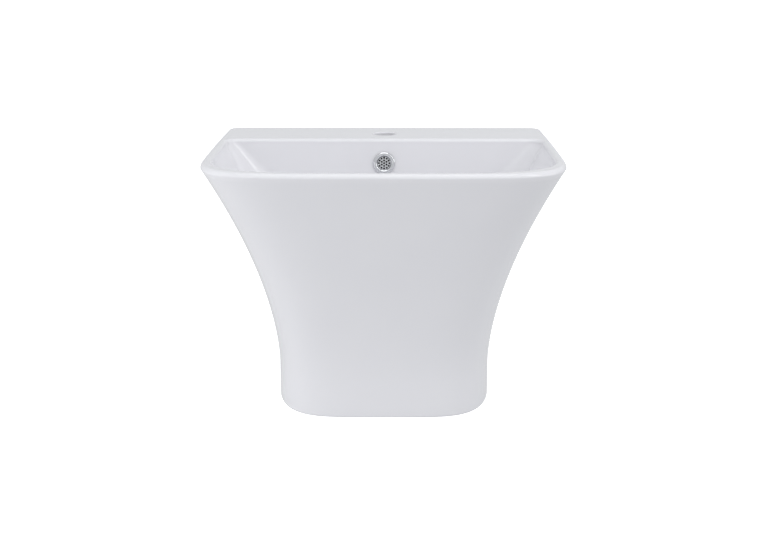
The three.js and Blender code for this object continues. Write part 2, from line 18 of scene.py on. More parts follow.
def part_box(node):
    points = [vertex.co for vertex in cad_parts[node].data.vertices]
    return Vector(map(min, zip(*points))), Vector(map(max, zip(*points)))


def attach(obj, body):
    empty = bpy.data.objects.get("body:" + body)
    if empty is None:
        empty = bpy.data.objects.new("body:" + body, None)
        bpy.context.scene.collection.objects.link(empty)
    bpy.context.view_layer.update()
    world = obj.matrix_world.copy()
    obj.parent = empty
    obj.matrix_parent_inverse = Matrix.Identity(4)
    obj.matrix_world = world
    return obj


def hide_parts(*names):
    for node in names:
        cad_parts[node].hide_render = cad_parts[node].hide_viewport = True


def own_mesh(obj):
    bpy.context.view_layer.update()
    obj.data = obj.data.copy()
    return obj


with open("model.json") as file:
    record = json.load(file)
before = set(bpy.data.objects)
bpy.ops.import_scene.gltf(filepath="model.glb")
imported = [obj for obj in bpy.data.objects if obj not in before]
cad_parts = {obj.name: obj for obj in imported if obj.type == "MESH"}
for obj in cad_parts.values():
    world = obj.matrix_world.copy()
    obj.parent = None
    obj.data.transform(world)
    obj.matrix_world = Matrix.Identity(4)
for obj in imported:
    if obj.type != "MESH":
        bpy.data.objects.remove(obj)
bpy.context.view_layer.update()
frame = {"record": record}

MM = 0.001


def span_of(node, axis):
    """Where a CAD node's box starts and ends along an axis."""
    low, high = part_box(node)
    return low[axis] / MM, high[axis] / MM


HALF_WIDTH = span_of("basin_body", 0)[1]
REACH = -span_of("basin_body", 1)[0]
FLOOR_Z, RIM_Z = span_of("basin_body", 2)
BODY_HEIGHT = RIM_Z - FLOOR_Z
DRAIN_Y = (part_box("plug_cap")[0].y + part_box("plug_cap")[1].y) / 2 / MM


# ---------------- camera

CAMERA_PLACE = (11.7, -2210, RIM_Z + 317.2)
CAMERA_PITCH = 14.2              # degrees below the horizon
CAMERA_YAW = 0.39                # degrees to the left of straight at the wall
CAMERA_LENS = 64.5


def make_camera():
    data = bpy.data.cameras.new("camera")
    data.lens = CAMERA_LENS
    data.sensor_width = 36
    camera = bpy.data.objects.new("camera", data)
    bpy.context.scene.collection.objects.link(camera)
    camera.location = Vector(CAMERA_PLACE) * MM
    camera.rotation_euler = (math.radians(90 - CAMERA_PITCH), 0, math.radians(CAMERA_YAW))
    bpy.context.scene.camera = camera


make_camera()


# ---------------- mesh helpers

def mix(low, high, share):
    return low + (high - low) * share


def make_object(name, vertices, faces, materials, smooth_angle=32, face_materials=None):
    """A smooth-shaded object from points in millimetres. Edges sharper than smooth_angle stay sharp."""
    mesh = bpy.data.meshes.new(name)
    mesh.from_pydata((np.asarray(vertices, float) * MM).tolist(), [], faces)
    for material in materials:
        mesh.materials.append(material)
    if face_materials is not None:
        mesh.polygons.foreach_set("material_index", np.asarray(face_materials, np.int32))
    merge_points(mesh, face_outwards=True)
    shade(mesh, smooth_angle)
    piece = bpy.data.objects.new(name, mesh)
    bpy.context.scene.collection.objects.link(piece)
    return piece


def merge_points(mesh, face_outwards=False):
    fresh = bmesh.new()
    fresh.from_mesh(mesh)
    bmesh.ops.remove_doubles(fresh, verts=fresh.verts, dist=1e-7)
    if face_outwards:
        bmesh.ops.recalc_face_normals(fresh, faces=fresh.faces)
    fresh.to_mesh(mesh)
    fresh.free()


def shade(mesh, smooth_angle):
    mesh.polygons.foreach_set("use_smooth", [True] * len(mesh.polygons))
    mesh.set_sharp_from_angle(angle=math.radians(smooth_angle))


def loft(rings, closed_ends=True):
    """Vertices and faces through rings of equally many (x, y, z) points, from the bottom up."""
    count = len(rings[0])
    vertices = np.concatenate(rings)
    faces = []
    for ring in range(len(rings) - 1):
        start = ring * count
        for k in range(count):
            a, b = start + k, start + (k + 1) % count
            faces.append((a, b, b + count, a + count))
    if closed_ends:
        last = (len(rings) - 1) * count
        middles = [rings[0].mean(0), rings[-1].mean(0)]
        vertices = np.concatenate([vertices, middles])
        low, high = len(vertices) - 2, len(vertices) - 1
        for k in range(count):
            after = (k + 1) % count
            faces.append((low, after, k))
            faces.append((high, last + k, last + after))
    return vertices, faces


def rounded(corners, steps=5):
    """A closed profile of (radius, z) points from corners (radius, z, fillet), each turned into an arc."""
    points = []
    for k, (r, z, fillet) in enumerate(corners):
        here = np.array([r, z], float)
        before = np.array(corners[k - 1][:2], float)
        after = np.array(corners[(k + 1) % len(corners)][:2], float)
        u, v = before - here, after - here
        u_length, v_length = np.linalg.norm(u), np.linalg.norm(v)
        u, v = u / u_length, v / v_length
        half = math.acos(max(-1.0, min(1.0, float(u @ v)))) / 2
        if fillet <= 0 or half > math.radians(88):
            points.append(here)
            continue
        reach = min(fillet / math.tan(half), u_length * 0.48, v_length * 0.48)
        radius = reach * math.tan(half)
        centre = here + (u + v) / np.linalg.norm(u + v) * radius / math.sin(half)
        start = here + u * reach - centre
        end = here + v * reach - centre
        sweep = math.atan2(start[0] * end[1] - start[1] * end[0], start @ end)
        for step in range(steps + 1):
            angle = sweep * step / steps
            c, s = math.cos(angle), math.sin(angle)
            points.append(centre + np.array([c * start[0] - s * start[1], s * start[0] + c * start[1]]))
    return np.array(points)


def revolve(profile, segments=96, ripple=None):
    """A closed profile turned about Z. ripple(angle, radius, z) gives what is added to the radius."""
    angles = np.arange(segments) * 2 * math.pi / segments
    profile = np.asarray(profile, float)
    radius = np.broadcast_to(profile[:, 0], (segments, len(profile)))
    height = np.broadcast_to(profile[:, 1], (segments, len(profile)))
    turn = np.broadcast_to(angles[:, None], radius.shape)
    if ripple is not None:
        radius = radius + ripple(turn, radius, height)
    vertices = np.stack([radius * np.cos(turn), radius * np.sin(turn), height], -1).reshape(-1, 3)
    faces = []
    rows = len(profile)
    for k in range(segments):
        following = (k + 1) % segments
        for row in range(rows):
            below = (row + 1) % rows
            a, b = k * rows + row, k * rows + below
            faces.append((a, following * rows + row, following * rows + below, b))
    return vertices, faces


def helix(radius, wire, low, high, turns, steps=24, sides=10, dead_turns=0.8):
    """A coil spring's wire about Z with its end turns laid flat, as vertices and faces."""
    count = int(turns * steps)
    share = np.linspace(0, 1, count + 1)
    turn = share * turns
    climb = np.clip((turn - dead_turns) / (turns - 2 * dead_turns), 0, 1)
    angle = turn * 2 * math.pi
    along = np.stack([-np.sin(angle), np.cos(angle), np.zeros_like(angle)], -1)
    outward = np.stack([np.cos(angle), np.sin(angle), np.zeros_like(angle)], -1)
    centre = outward * radius + np.stack([0 * climb, 0 * climb, mix(low, high, climb)], -1)
    upward = np.cross(outward, along)
    around = np.arange(sides) * 2 * math.pi / sides
    rings = [
        c + wire * (np.outer(np.cos(around), o) + np.outer(np.sin(around), u))
        for c, o, u in zip(centre, outward, upward)
    ]
    return loft(rings)


def filled(profile, step):
    """A closed profile with points added, so that none lie further apart than step."""
    points = []
    for here, after in zip(profile, np.roll(profile, -1, axis=0)):
        pieces = max(1, math.ceil(np.linalg.norm(after - here) / step))
        points.extend(mix(here, after, k / pieces) for k in range(pieces))
    return np.array(points)


def grip_ribs(count, height, above, sharpness=2.5):
    """A ripple of rounded ribs along Z on the surface at radii from `above` outwards."""
    def ripple(turn, radius, z):
        wave = (0.5 + 0.5 * np.cos(turn * count)) ** sharpness
        return np.where(radius >= above, height * wave, 0)
    return ripple


def thread(pitch, depth, low, high, above=0):
    """A ripple that cuts a rounded screw thread between two heights, at radii from `above` outwards."""
    def ripple(turn, radius, z):
        wave = 0.5 - 0.5 * np.cos(2 * math.pi * z / pitch - turn)
        fade = np.clip((z - low) / pitch, 0, 1) * np.clip((high - z) / pitch, 0, 1)
        return np.where(radius >= above, -depth * wave * fade, 0)
    return ripple


def parts_of_turn(points, degrees):
    """The x, y and z of points, with the cosine and sine of an angle."""
    angle = math.radians(degrees)
    return *np.asarray(points, float).T, math.cos(angle), math.sin(angle)


def turned_about_x(points, degrees):
    x, y, z, c, s = parts_of_turn(points, degrees)
    return np.stack([x, y * c - z * s, y * s + z * c], -1)


def turned_about_z(points, degrees):
    x, y, z, c, s = parts_of_turn(points, degrees)
    return np.stack([x * c - y * s, x * s + y * c, z], -1)


def box(low, high):
    """Vertices and faces of a block."""
    (x0, y0, z0), (x1, y1, z1) = low, high
    corners = [(x0, y0), (x1, y0), (x1, y1), (x0, y1)]
    rings = [np.array([(x, y, z) for x, y in corners], float) for z in (z0, z1)]
    return loft(rings)


def apply_modifiers(piece):
    shown = bpy.context.evaluated_depsgraph_get()
    mesh = bpy.data.meshes.new_from_object(piece.evaluated_get(shown))
    piece.modifiers.clear()
    piece.data = mesh


def combine(target, tool, operation):
    """Joins tool to target, cuts it out or keeps what both share, and takes the tool away."""
    step = target.modifiers.new("combine", "BOOLEAN")
    step.operation = operation
    step.solver = "MANIFOLD"
    step.material_mode = "INDEX"
    step.object = tool
    apply_modifiers(target)
    bpy.data.objects.remove(tool)


def make_rod(radius, low, high, place=lambda points: points, segments=64, materials=()):
    vertices, faces = revolve([(0, low), (radius, low), (radius, high), (0, high)], segments)
    return make_object("rod", place(vertices), faces, materials)


# ---------------- materials

def node_material(name):
    """A new material, with its shader and a function that adds nodes to it."""
    material = bpy.data.materials.new(name)
    material.use_nodes = True
    tree = material.node_tree
    shader = tree.nodes["Principled BSDF"]

    def add(kind, inputs=None, **settings):
        node = tree.nodes.new(kind)
        for key, value in settings.items():
            setattr(node, key, value)
        for key, value in (inputs or {}).items():
            if isinstance(value, bpy.types.NodeSocket):
                tree.links.new(value, node.inputs[key])
            else:
                node.inputs[key].default_value = value
        return node

    return material, tree, shader, add


def speckle(add, look, detail):
    """Noise in the object's own metres, from 0 to 1, with the look's scale and stretch."""
    place = add("ShaderNodeTexCoord")
    stretch = look.get("stretch", (1, 1, 1))
    mapping = add("ShaderNodeMapping", {"Vector": place.outputs["Object"], "Scale": stretch})
    noise = add("ShaderNodeTexNoise", {
        "Vector": mapping.outputs["Vector"], "Scale": look["scale"], "Detail": detail, "Roughness": 0.5,
    })
    return noise.outputs["Fac"]


def spread_over(add, factor, low, high):
    """Turns a 0 to 1 factor into numbers from low to high."""
    return add("ShaderNodeMapRange", {"Value": factor, "To Min": low, "To Max": high}).outputs["Result"]


def tinted(add, factor, first, second):
    """Mixes two colours by a factor."""
    ramp = add("ShaderNodeValToRGB", {"Fac": factor})
    ramp.color_ramp.elements[0].position = 0.3
    ramp.color_ramp.elements[1].position = 0.7
    ramp.color_ramp.elements[0].color = (*first, 1)
    ramp.color_ramp.elements[1].color = (*second, 1)
    return ramp.outputs["Color"]


def surface(name, colors, roughness, bumps, metallic=0.0, settings=None):
    """A finish whose colour and roughness wander between two values, with one layer of noise for each bump."""
    material, tree, shader, add = node_material(name)
    wander = speckle(add, colors, 3)
    tree.links.new(tinted(add, wander, colors["first"], colors["second"]), shader.inputs["Base Color"])
    grain = speckle(add, roughness, 5)
    tree.links.new(spread_over(add, grain, roughness["low"], roughness["high"]), shader.inputs["Roughness"])
    normal = None
    for bump in bumps:
        height = speckle(add, bump, 2)
        inputs = {"Height": height, "Strength": 1.0, "Distance": bump["height"]}
        if normal is not None:
            inputs["Normal"] = normal
        normal = add("ShaderNodeBump", inputs).outputs["Normal"]
    tree.links.new(normal, shader.inputs["Normal"])
    shader.inputs["Metallic"].default_value = metallic
    for key, value in (settings or {}).items():
        shader.inputs[key].default_value = value
    return material


def make_glaze():
    """White sanitary glaze: a deep gloss with the faint waviness of a sprayed and fired coat."""
    return surface(
        "glaze",
        {"scale": 9, "first": (0.795, 0.792, 0.822), "second": (0.810, 0.806, 0.834)},
        {"scale": 30, "low": 0.22, "high": 0.27},
        [{"scale": 40, "height": 0.00006}, {"scale": 260, "height": 0.000004}],
        settings={"Coat Weight": 0.6, "Coat Roughness": 0.035, "Coat IOR": 1.5, "IOR": 1.45},
    )


def make_bisque():
    """Fired clay where the glaze is only a thin wash: matt, with fine grit and cloudy patches."""
    return surface(
        "bisque",
        {"scale": 24, "first": (0.70, 0.69, 0.665), "second": (0.78, 0.775, 0.76)},
        {"scale": 140, "low": 0.55, "high": 0.75},
        [{"scale": 55, "height": 0.0003}, {"scale": 900, "height": 0.00008}],
    )


def make_channel_shade():
    """Bare clay inside the overflow channel, coloured near black: painted shade for the dim inside seen
    through the strainer's holes.
    """
    return surface(
        "channel_painted_shade",
        {"scale": 60, "first": (0.05, 0.048, 0.045), "second": (0.09, 0.087, 0.08)},
        {"scale": 140, "low": 0.6, "high": 0.8},
        [{"scale": 55, "height": 0.0003}],
    )


def make_chrome():
    return surface(
        "polished_chrome",
        {"scale": 60, "first": (0.70, 0.71, 0.73), "second": (0.74, 0.75, 0.77)},
        {"scale": 900, "low": 0.04, "high": 0.09},
        [{"scale": 150, "height": 0.000004}],
        metallic=1.0,
    )


def make_brass():
    return surface(
        "machined_brass",
        {"scale": 70, "first": (0.72, 0.52, 0.25), "second": (0.78, 0.60, 0.32)},
        {"scale": 500, "low": 0.22, "high": 0.36, "stretch": (1, 1, 6)},
        [{"scale": 300, "height": 0.00004, "stretch": (0.2, 0.2, 9)}],
        metallic=1.0,
    )


def make_spring_steel():
    return surface(
        "spring_steel",
        {"scale": 200, "first": (0.46, 0.47, 0.49), "second": (0.58, 0.59, 0.61)},
        {"scale": 1200, "low": 0.24, "high": 0.40},
        [{"scale": 1500, "height": 0.00001}],
        metallic=1.0,
    )


def make_rubber(name, first, second):
    return surface(
        name,
        {"scale": 90, "first": first, "second": second},
        {"scale": 300, "low": 0.62, "high": 0.82},
        [{"scale": 1400, "height": 0.00003}],
        settings={"Specular IOR Level": 0.35},
    )


def make_white_plastic():
    """Moulded polypropylene: satin, with a fine grain and slow sinks where the wall is thick."""
    return surface(
        "white_polypropylene",
        {"scale": 18, "first": (0.78, 0.785, 0.78), "second": (0.82, 0.822, 0.815)},
        {"scale": 220, "low": 0.30, "high": 0.42},
        [{"scale": 45, "height": 0.00012}, {"scale": 1100, "height": 0.00002}],
        settings={"Subsurface Weight": 0.15, "Subsurface Radius": (0.004, 0.004, 0.003)},
    )


def make_nylon():
    return surface(
        "natural_nylon",
        {"scale": 60, "first": (0.66, 0.65, 0.57), "second": (0.74, 0.73, 0.66)},
        {"scale": 260, "low": 0.38, "high": 0.52},
        [{"scale": 900, "height": 0.00003}],
        settings={"Subsurface Weight": 0.3, "Subsurface Radius": (0.003, 0.003, 0.002)},
    )


GLAZE = make_glaze()
BISQUE = make_bisque()
# the channel's finish is near black, painted shade for the dim inside of the overflow channel
CHANNEL_SHADE = make_channel_shade()
FINISHES = {
    "ceramic": GLAZE,
    "chrome": make_chrome(),
    "brass": make_brass(),
    "spring_steel": make_spring_steel(),
    "black_rubber": make_rubber("black_rubber", (0.012, 0.012, 0.013), (0.028, 0.028, 0.030)),
    "grey_rubber": make_rubber("grey_rubber", (0.12, 0.12, 0.125), (0.19, 0.19, 0.20)),
    "white_plastic": make_white_plastic(),
    "nylon": make_nylon(),
}


# ---------------- pieces and the CAD nodes they stand for

RECORD = frame["record"]
SLOTS = {part["node"]: part["material_slot"] for part in RECORD["subparts"]}
BODIES = {node: body for body, nodes in RECORD["behaviour"]["bodies"].items() for node in nodes}


def stand_for(node, piece):
    """Makes the piece stand for a CAD node: it hides the node and rides on the node's body."""
    piece.name = node + "_fine"
    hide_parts(node)
    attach(piece, BODIES[node])
    return piece


def add_piece(node, shape, place=lambda points: points, smooth_angle=32):
    """Makes the piece for a CAD node from (vertices, faces)."""
    vertices, faces = shape
    return stand_for(node, make_object(node, place(vertices), faces, [FINISHES[SLOTS[node]]], smooth_angle))


# ---------------- shape of the basin

# The front corners of a section are superellipses with powers px and py, starting `corner` behind its reach.
TOP = {
    "half_width": HALF_WIDTH, "reach": REACH, "back_radius": 13,
    "corner": 140, "px": 6, "py": 3, "taper": 3.5,
}
FOOT = {
    "half_width": 161.5, "reach": 300, "back_radius": 6,
    "corner": 145, "px": 5, "py": 2.3, "taper": 0,
}
FLARE_HEIGHT = 333               # the sides are upright below this depth
FLARE_POWER = 1.62
TAPER_SHARE = 0.6                # share of the reach along which the sides draw in to the wall
RIM_THICKNESS = 14
RIM_ROLL = 6.5                   # radius of each edge of the rim
FOOT_EDGE = 4                    # radius round the foot's lower edge
WALL = 10.5                      # thickness of the shroud
PANEL = 14                       # thickness of the panel against the wall
PANEL_DEPTH = 175
LEDGE = 16                       # thickness of the tap ledge
SHROUD_TOP = 95                  # depth where the hollow of the shroud starts
POCKET_REACH = 135               # the hollow behind the bowl reaches this far from the wall
BOWL_BACK = 121                  # wall to the bowl's back edge
BOWL_CORNER = {"corner": 146, "px": 4.6, "py": 2.6}  # rounder than the corners of the rim
BOWL_LEAN = math.radians(31)
BOWL_BACK_LEAN = math.radians(11.5)
BOWL_BACK_RADIUS = 17            # of the bowl's back corners at the rim
BOWL_BACK_SPREAD = 0.47          # growth of that radius for each mm of depth
BOWL_FLOOR = 114                 # depth where the walls have turned into the floor
BOWL_FILLET = 50
FLOOR_PITCH = math.radians(3)
BOWL_SHELL = 12
DRAIN_DEPTH = 119
SEAT_RADIUS = 36
SEAT_Z = RIM_Z - DRAIN_DEPTH - 4
DRAIN_RADIUS = 23
BOSS_RADIUS = 40
BOSS_Z = -50
TAP_HOLE_Y = -66
TAP_HOLE_RADIUS = 17.5
TAP_HOLE_EDGE = 2.4              # glaze rounds the edge of the tap hole
FIXING_X = 140
FIXING_HOLE_RADIUS = 9
OVERFLOW_DEPTH = 36.5
OVERFLOW_HOLE_RADIUS = 12.5
CHANNEL_HALF_WIDTH = 18
CHANNEL_NEAR, CHANNEL_FAR, CHANNEL_OUTSIDE = 10, 21, 29  # offsets from the bowl's surface

FRONT_STEPS, SIDE_STEPS, BEND_STEPS, BACK_STEPS = 60, 14, 10, 10


def spread_along(points, count):
    """count points spaced evenly along a polyline, without its last point."""
    gaps = np.linalg.norm(np.diff(points, axis=0), axis=1)
    along = np.concatenate([[0], np.cumsum(gaps)])
    at = np.arange(count) / count * along[-1]
    return np.stack([np.interp(at, along, points[:, axis]) for axis in (0, 1)], 1)


def body_section(depth):
    """The numbers of the body's outline at a depth below the rim."""
    height = FLARE_HEIGHT - max(depth, RIM_ROLL)
    rise = max(0, height / (FLARE_HEIGHT - RIM_ROLL)) ** FLARE_POWER
    return {key: mix(FOOT[key], TOP[key], rise) for key in TOP}


def outline(section, inset=0, back=0, back_radius=None):
    """A closed outline from above: a superellipse in front, sides that draw in, a straight rounded back."""
    half_width = section["half_width"] - inset
    reach = section["reach"] - inset
    corner = section["corner"] - inset
    back_radius = section["back_radius"] if back_radius is None else back_radius
    angle = np.linspace(0, math.pi / 2, 600)
    front_x = half_width * np.sin(angle) ** (2 / section["px"])
    front_y = -(reach - corner) - corner * np.clip(np.cos(angle), 0, 1) ** (2 / section["py"])
    side_end = -back - back_radius
    bend_x = half_width - back_radius * (1 - np.cos(angle))
    bend_y = side_end + back_radius * np.sin(angle)
    half = np.concatenate([
        spread_along(np.stack([front_x, front_y], 1), FRONT_STEPS),
        spread_along(np.array([[half_width, -(reach - corner)], [half_width, side_end]]), SIDE_STEPS),
        spread_along(np.stack([bend_x, bend_y], 1), BEND_STEPS),
        spread_along(np.array([[bend_x[-1], -back], [0, -back]]), BACK_STEPS),
        [[0, -back]],
    ])
    share = np.clip(1 + half[:, 1] / section["reach"] / TAPER_SHARE, 0, None)
    half[:, 0] *= 1 - section["taper"] / section["half_width"] * share ** 2
    return np.concatenate([half, half[1:-1][::-1] * (-1, 1)])


def at_depth(points, depth):
    return np.column_stack([points, np.full(len(points), RIM_Z - depth)])


def body_outside():
    rings = []
    for angle in np.radians(np.linspace(0, 75, 6)):
        inset = FOOT_EDGE * (1 - math.sin(angle))
        points = outline(body_section(BODY_HEIGHT), inset)
        rings.append(at_depth(points, BODY_HEIGHT - FOOT_EDGE * (1 - math.cos(angle))))
    for depth in np.linspace(BODY_HEIGHT - FOOT_EDGE, FLARE_HEIGHT, 4)[:-1]:
        rings.append(at_depth(outline(body_section(depth)), depth))
    for depth in np.linspace(FLARE_HEIGHT, RIM_ROLL, 44):
        rings.append(at_depth(outline(body_section(depth)), depth))
    for angle in np.radians(np.linspace(0, 90, 10)[1:]):
        depth = RIM_ROLL * (1 - math.sin(angle))
        inset = RIM_ROLL * (1 - math.cos(angle))
        rings.append(at_depth(outline(body_section(depth), inset), depth))
    return loft(rings)


def wall_inset(depth, lean):
    """How far a bowl wall has come in at a depth: it leans, and then a fillet turns it into the floor."""
    floor_angle = math.pi / 2 - FLOOR_PITCH
    fillet_start = BOWL_FLOOR - BOWL_FILLET * (math.sin(floor_angle) - math.sin(lean))
    if depth <= fillet_start:
        return (depth - RIM_ROLL) * math.tan(lean)
    turn = math.asin(math.sin(lean) + (depth - fillet_start) / BOWL_FILLET)
    straight = (fillet_start - RIM_ROLL) * math.tan(lean)
    return straight + BOWL_FILLET * (math.cos(lean) - math.cos(turn))


def bowl_outline(depth, offset):
    section = {**TOP, **BOWL_CORNER}
    section["corner"] += offset * 0.5
    inset = RIM_THICKNESS + wall_inset(depth, BOWL_LEAN) - offset
    back = BOWL_BACK + wall_inset(depth, BOWL_BACK_LEAN) - offset
    return outline(section, inset, back, max(4, BOWL_BACK_RADIUS + BOWL_BACK_SPREAD * depth + offset / 2))


def floor_outline(share, offset):
    """The floor's outline, shrunk by a share towards the circle round the drain."""
    rim = bowl_outline(BOWL_FLOOR, offset) - (0, DRAIN_Y)
    distance = np.linalg.norm(rim, axis=1)
    return rim * (mix(distance, SEAT_RADIUS, share) / distance)[:, None] + (0, DRAIN_Y)


def bowl_surface(offset=0):
    """Rings over the bowl's surface, grown by offset, from the floor at the drain up to the rounded rim."""
    def grown(points, depth):
        return at_depth(points, depth + offset * min(1, max(0, depth) / BOWL_FLOOR))

    rings = []
    for share in np.linspace(1, 0, 9)[:-1]:
        rings.append(grown(floor_outline(share, offset), mix(BOWL_FLOOR, DRAIN_DEPTH, share)))
    for share in np.linspace(0, 1, 14):
        depth = BOWL_FLOOR - share ** 2 * BOWL_FILLET
        rings.append(grown(bowl_outline(depth, offset), depth))
    for depth in np.linspace(BOWL_FLOOR - BOWL_FILLET, RIM_ROLL, 12)[1:]:
        rings.append(grown(bowl_outline(depth, offset), depth))
    for angle in np.radians(np.linspace(0, 90, 10)[1:]):
        spread = RIM_ROLL * (1 - math.cos(angle))
        rings.append(grown(bowl_outline(RIM_ROLL, offset + spread), RIM_ROLL * (1 - math.sin(angle))))
    return rings


def bowl_space(offset=0):
    """The space inside the bowl, grown by offset, with 2 mm more above the rim."""
    return loft(bowl_surface(offset) + [at_depth(bowl_outline(RIM_ROLL, offset + RIM_ROLL), -2)])


def inside_body(low, high, inset, back):
    """Rings between two depths, inside the body's outline, with their back at a distance from the wall."""
    return [at_depth(outline(body_section(depth), inset, back, 8), depth)
            for depth in np.linspace(low, high, math.ceil((low - high) / 12) + 1)]


OVERFLOW_Y = -BOWL_BACK - wall_inset(OVERFLOW_DEPTH, BOWL_BACK_LEAN)
OVERFLOW_Z = RIM_Z - OVERFLOW_DEPTH
OVERFLOW_TURN = 90 - math.degrees(BOWL_BACK_LEAN)


def at_overflow(points):
    """Lays Z along the normal of the bowl's back wall, with the origin at the overflow."""
    return turned_about_x(points, OVERFLOW_TURN) + (0, OVERFLOW_Y, OVERFLOW_Z)


def at_drain(points):
    return np.asarray(points, float) + (0, DRAIN_Y, 0)


def at_fixing(x):
    """Gives the placement at a fixing hole, with Z pointing from the wall into the room."""
    return lambda points: turned_about_x(points, 90) + (x, 0, 0)


BASIN_FINISHES = [GLAZE, BISQUE, CHANNEL_SHADE]
GLAZED, BARE, CHANNEL = 0, 1, 2  # places in that list


def clay(shape, finish=BARE):
    """A lump with one finish all over, to be added to the basin's body or cut out of it."""
    vertices, faces = shape
    return make_object("clay", vertices, faces, BASIN_FINISHES, face_materials=[finish] * len(faces))


def shroud_space():
    """The hollow of the half pedestal, open below, and at the back under the wall panel."""
    open_back = inside_body(BODY_HEIGHT + 5, PANEL_DEPTH, WALL, -20)
    behind_panel = inside_body(PANEL_DEPTH, SHROUD_TOP, WALL, PANEL)
    return clay(loft(open_back + behind_panel))


def ledge_pocket():
    """The hollow under the tap ledge, between the bowl and the wall panel."""
    pocket = clay(loft(inside_body(SHROUD_TOP + 5, LEDGE, WALL + 1.5, PANEL + 1.5)))
    combine(pocket, clay(box((-300, -POCKET_REACH, 0), (300, 0, RIM_Z))), "INTERSECT")
    return pocket


def bowl_shell():
    """The clay round the bowl, not yet hollowed: the shell, the overflow's rib and the drain's boss."""
    shell = clay(bowl_space(BOWL_SHELL))
    rib = clay(bowl_space(CHANNEL_OUTSIDE))
    rib_half_width = CHANNEL_HALF_WIDTH + 8
    rib_room = ((-rib_half_width, DRAIN_Y, BOSS_Z + 4), (rib_half_width, -PANEL, RIM_Z - LEDGE / 2))
    combine(rib, clay(box(*rib_room)), "INTERSECT")
    combine(shell, rib, "UNION")
    vertices, faces = revolve([
        (0, BOSS_Z), (BOSS_RADIUS, BOSS_Z), (BOSS_RADIUS + 8, SEAT_Z - 4), (0, SEAT_Z - 4),
    ])
    combine(shell, clay((at_drain(vertices), faces)), "UNION")
    within_walls = clay(loft(inside_body(BODY_HEIGHT - 20, LEDGE / 2, WALL / 3, PANEL / 2)))
    combine(shell, within_walls, "INTERSECT")
    return shell


def overflow_channel():
    """The passage in the rib from the overflow's hole down to the drain."""
    # the channel's faces take the near-black finish, which is painted shade, not the clay's own colour
    channel = clay(bowl_space(CHANNEL_FAR), CHANNEL)
    combine(channel, clay(bowl_space(CHANNEL_NEAR), CHANNEL), "DIFFERENCE")
    channel_top = OVERFLOW_Z + OVERFLOW_HOLE_RADIUS
    channel_room = box((-CHANNEL_HALF_WIDTH, DRAIN_Y, -200), (CHANNEL_HALF_WIDTH, -PANEL, channel_top))
    combine(channel, clay(channel_room, CHANNEL), "INTERSECT")
    return channel


def basin_holes():
    """The tools that cut the drain with its seat, the overflow, the tap hole and the fixing holes."""
    seat = make_rod(SEAT_RADIUS, SEAT_Z, RIM_Z - BOWL_FLOOR, at_drain, 128, BASIN_FINISHES)
    drain = make_rod(DRAIN_RADIUS, BOSS_Z - 5, SEAT_Z + 1, at_drain, 96, BASIN_FINISHES)
    overflow = make_rod(OVERFLOW_HOLE_RADIUS, -16, 6, at_overflow, 64, BASIN_FINISHES)
    holes = [seat, drain, overflow, tap_hole()]
    for x in (-FIXING_X, FIXING_X):
        holes.append(make_rod(FIXING_HOLE_RADIUS, -5, PANEL + 5, at_fixing(x), 48, BASIN_FINISHES))
    return holes


def make_basin_body():
    body = clay(body_outside(), GLAZED)
    for face in body.data.polygons:
        if face.normal.y > 0.99 or face.normal.z < -0.99:
            face.material_index = BARE
    combine(body, shroud_space(), "DIFFERENCE")
    combine(body, ledge_pocket(), "DIFFERENCE")
    combine(body, bowl_shell(), "UNION")
    combine(body, overflow_channel(), "DIFFERENCE")
    combine(body, clay(bowl_space(), GLAZED), "DIFFERENCE")
    for hole in basin_holes():
        combine(body, hole, "DIFFERENCE")
    return body


def tap_hole():
    """The tool that cuts the tap hole, whose upper edge is rounded."""
    low = RIM_Z - LEDGE - 5
    profile = [(0, low), (TAP_HOLE_RADIUS, low)]
    for angle in np.radians(np.linspace(0, 80, 9)):
        radius = TAP_HOLE_RADIUS + TAP_HOLE_EDGE * (1 - math.cos(angle))
        profile.append((radius, RIM_Z - TAP_HOLE_EDGE * (1 - math.sin(angle))))
    outer = profile[-1][0] + 1.5
    profile += [(outer, RIM_Z + 0.4), (outer, RIM_Z + 5), (0, RIM_Z + 5)]
    vertices, faces = revolve(profile, 128)
    return make_object("tap_hole", vertices + (0, TAP_HOLE_Y, 0), faces, BASIN_FINISHES)


def shade_like(body, skin, tolerance=0.08):
    """Gives faces of the body that lie on a skin the skin's smooth normals, and keeps level faces level.

    Booleans disturb both.
    """
    mesh, shape = body.data, skin.data
    tree = BVHTree.FromPolygons([v.co for v in shape.vertices], [tuple(p.vertices) for p in shape.polygons])
    normals = [Vector(corner.vector) for corner in mesh.corner_normals]
    for face in mesh.polygons:
        if face.normal.z > 0.99999:
            for corner in face.loop_indices:
                normals[corner] = Vector((0, 0, 1))
            continue
        _, normal, _, distance = tree.find_nearest(face.center)
        facing = normal.dot(face.normal)
        if face.material_index != GLAZED or distance > tolerance * MM or abs(facing) < 0.9:
            continue
        for corner in face.loop_indices:
            point, _, index, _ = tree.find_nearest(mesh.vertices[mesh.loops[corner].vertex_index].co)
            around = [shape.vertices[k] for k in shape.polygons[index].vertices]
            weights = poly_3d_calc([v.co for v in around], point)
            smooth = sum((v.normal * weight for v, weight in zip(around, weights)), Vector())
            normals[corner] = smooth.normalized() * math.copysign(1, facing)
    mesh.normals_split_custom_set(normals)
    bpy.data.objects.remove(skin)


def finish_basin_body():
    body = make_basin_body()
    merge_points(body.data)
    shade(body.data, 38)
    shade_like(body, make_object("outer_skin", *body_outside(), ()))
    shade_like(body, make_object("bowl_skin", *loft(bowl_surface(), closed_ends=False), ()))
    stand_for("basin_body", body)


finish_basin_body()


# ---------------- overflow fitting

def overflow_ring():
    """The bezel: a rounded flange on the bowl's wall, with a sleeve that goes into the hole."""
    profile = rounded([
        (10.8, -11, 0.3), (12.1, -11, 0.3), (12.1, 1.9, 0), (16.6, 1.9, 0.3), (16.6, 2.6, 0.6),
        (15.0, 4.0, 1.2), (12.6, 4.15, 1.4), (10.8, 2.6, 1.2),
    ], steps=8)
    return revolve(profile, 128)


